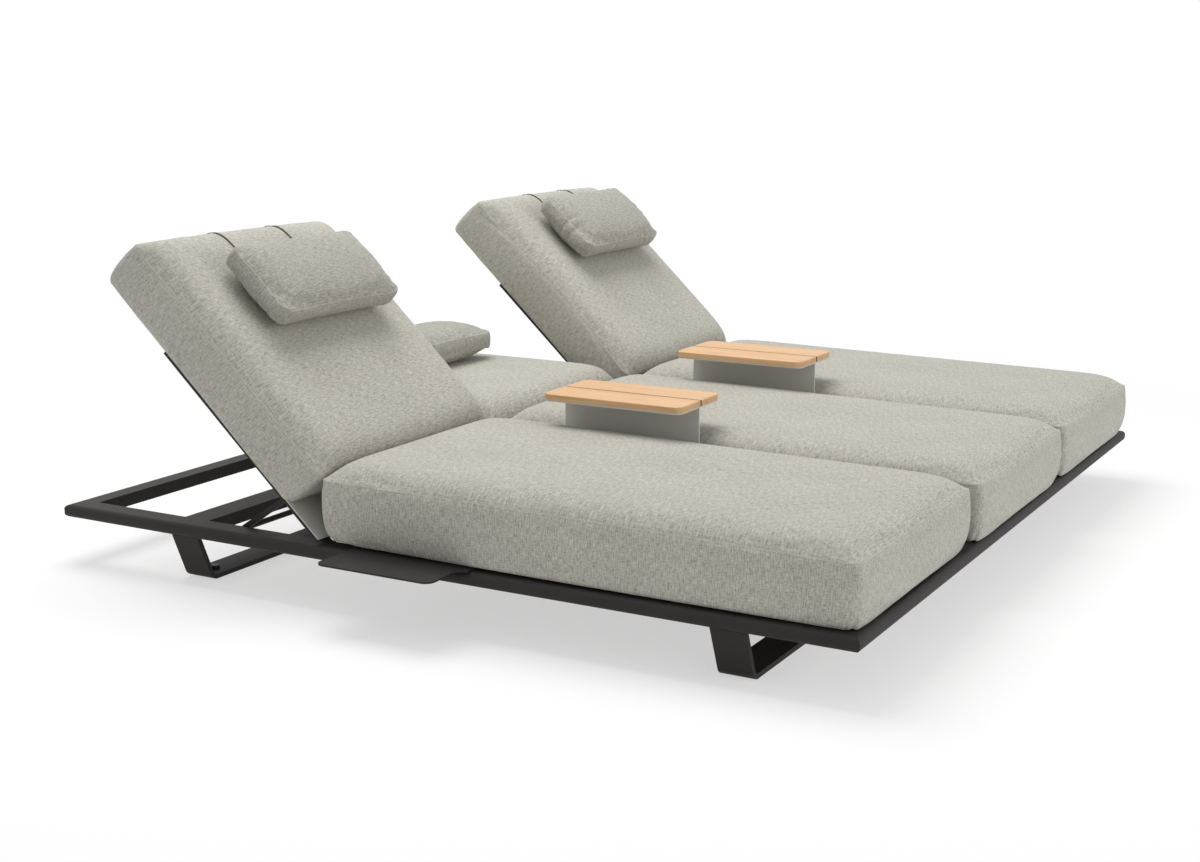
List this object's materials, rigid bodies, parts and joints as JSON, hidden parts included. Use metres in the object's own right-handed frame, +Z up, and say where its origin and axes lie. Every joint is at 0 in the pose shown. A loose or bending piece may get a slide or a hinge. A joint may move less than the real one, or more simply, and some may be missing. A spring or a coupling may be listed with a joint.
{
  "type": "outdoor lounge bed",
  "caption": "Wide low outdoor lounge bed with side-by-side loungers, raising backs, strapped pillows and teak side tables on a metal frame with sled feet.",
  "frame": {"origin": "on the ground, under the middle of the frame", "axes": "+X across the bed to its right side as seen from the foot end, +Y to the head end, +Z up"},
  "size_m": [2.43, 2.1, 0.8284],
  "materials": {
    "anthracite_coating": "satin powder coat",
    "off_white_coating": "satin powder coat",
    "plate_coating": "satin powder coat",
    "cushion_fabric": "matt woven melange",
    "strap_webbing": "matt webbing",
    "teak": "oiled, fine grain",
    "black_plastic": "matt",
    "stainless_steel": "brushed"
  },
  "bodies": {
    "base": {"side_rail_left": "anthracite_coating", "side_rail_right": "anthracite_coating", "head_rail": "anthracite_coating", "foot_rail_left": "anthracite_coating", "foot_rail_middle": "anthracite_coating", "foot_rail_right": "anthracite_coating", "inner_rail_left": "anthracite_coating", "inner_rail_right": "anthracite_coating", "cross_member_head_left": "anthracite_coating", "cross_member_head_middle": "anthracite_coating", "cross_member_head_right": "anthracite_coating", "cross_member_foot_left": "anthracite_coating", "cross_member_foot_middle": "anthracite_coating", "cross_member_foot_right": "anthracite_coating", "sled_head": "anthracite_coating", "sled_foot": "anthracite_coating", "sled_posts": "anthracite_coating", "levelling_glides": "black_plastic", "seat_frame_left": "off_white_coating", "seat_frame_middle": "off_white_coating", "seat_frame_right": "off_white_coating", "seat_panel_left": "off_white_coating", "seat_panel_middle": "off_white_coating", "seat_panel_right": "off_white_coating", "seat_cushion_left": "cushion_fabric", "seat_cushion_middle": "cushion_fabric", "seat_cushion_right": "cushion_fabric", "side_plate_left": "plate_coating", "side_plate_right": "plate_coating", "hinge_brackets": "anthracite_coating", "hinge_pins": "stainless_steel", "prop_racks": "anthracite_coating"},
    "back_left": {"back_frame_left": "anthracite_coating", "back_panel_left": "off_white_coating"},
    "cushion_left": {"back_cushion_left": "cushion_fabric", "pillow_left": "cushion_fabric", "pillow_straps_left": "strap_webbing"},
    "prop_left": {"back_prop_left": "anthracite_coating"},
    "back_middle": {"back_frame_middle": "anthracite_coating", "back_panel_middle": "off_white_coating"},
    "cushion_middle": {"back_cushion_middle": "cushion_fabric", "pillow_middle": "cushion_fabric", "pillow_straps_middle": "strap_webbing"},
    "prop_middle": {"back_prop_middle": "anthracite_coating"},
    "back_right": {"back_frame_right": "anthracite_coating", "back_panel_right": "off_white_coating"},
    "cushion_right": {"back_cushion_right": "cushion_fabric", "pillow_right": "cushion_fabric", "pillow_straps_right": "strap_webbing"},
    "prop_right": {"back_prop_right": "anthracite_coating"},
    "table_left": {"table_upright_left": "off_white_coating", "table_support_left": "off_white_coating", "table_boards_left": "teak", "table_screws_left": "stainless_steel"},
    "table_right": {"table_upright_right": "off_white_coating", "table_support_right": "off_white_coating", "table_boards_right": "teak", "table_screws_right": "stainless_steel"}
  },
  "joints": [
    {"name": "back_hinge_left", "type": "hinge", "parent": "base", "child": "back_left", "pos_m": [-0.73333, 0.274, 0.142], "axis": [1, 0, 0], "range_deg": [-42.6, 17.4]},
    {"name": "cushion_creep_left", "type": "slide", "parent": "back_left", "child": "cushion_left", "axis": [0, 0.7361, 0.6769], "range_m": [-0.1325, 0.0545]},
    {"name": "prop_pivot_left", "type": "hinge", "parent": "back_left", "child": "prop_left", "pos_m": [-0.73333, 0.38221, 0.2415], "axis": [1, 0, 0], "range_deg": [-31.5, 77]},
    {"name": "back_hinge_middle", "type": "hinge", "parent": "base", "child": "back_middle", "pos_m": [0, 0.274, 0.142], "axis": [1, 0, 0], "range_deg": [0, 60]},
    {"name": "cushion_creep_middle", "type": "slide", "parent": "back_middle", "child": "cushion_middle", "axis": [0, 1, 0], "range_m": [0, 0.187]},
    {"name": "prop_pivot_middle", "type": "hinge", "parent": "back_middle", "child": "prop_middle", "pos_m": [0, 0.421, 0.142], "axis": [1, 0, 0], "range_deg": [-108.5, 0.5]},
    {"name": "back_hinge_right", "type": "hinge", "parent": "base", "child": "back_right", "pos_m": [0.73333, 0.274, 0.142], "axis": [1, 0, 0], "range_deg": [-42.6, 17.4]},
    {"name": "cushion_creep_right", "type": "slide", "parent": "back_right", "child": "cushion_right", "axis": [0, 0.7361, 0.6769], "range_m": [-0.1325, 0.0545]},
    {"name": "prop_pivot_right", "type": "hinge", "parent": "back_right", "child": "prop_right", "pos_m": [0.73333, 0.38221, 0.2415], "axis": [1, 0, 0], "range_deg": [-31.5, 77]},
    {"name": "table_slide_left", "type": "slide", "parent": "base", "child": "table_left", "axis": [0, 1, 0], "range_m": [-0.55, 0.15]},
    {"name": "table_slide_right", "type": "slide", "parent": "base", "child": "table_right", "axis": [0, 1, 0], "range_m": [-0.55, 0.15]}
  ],
  "couplings": [
    {"joint": "cushion_creep_left", "follows": "back_hinge_left", "m_per_rad": 0.17727},
    {"joint": "prop_pivot_left", "follows": "back_hinge_left", "ratio": -1.7981},
    {"joint": "cushion_creep_middle", "follows": "back_hinge_middle", "m_per_rad": 0.17727},
    {"joint": "prop_pivot_middle", "follows": "back_hinge_middle", "ratio": -1.7981},
    {"joint": "cushion_creep_right", "follows": "back_hinge_right", "m_per_rad": 0.17727},
    {"joint": "prop_pivot_right", "follows": "back_hinge_right", "ratio": -1.7981}
  ]
}
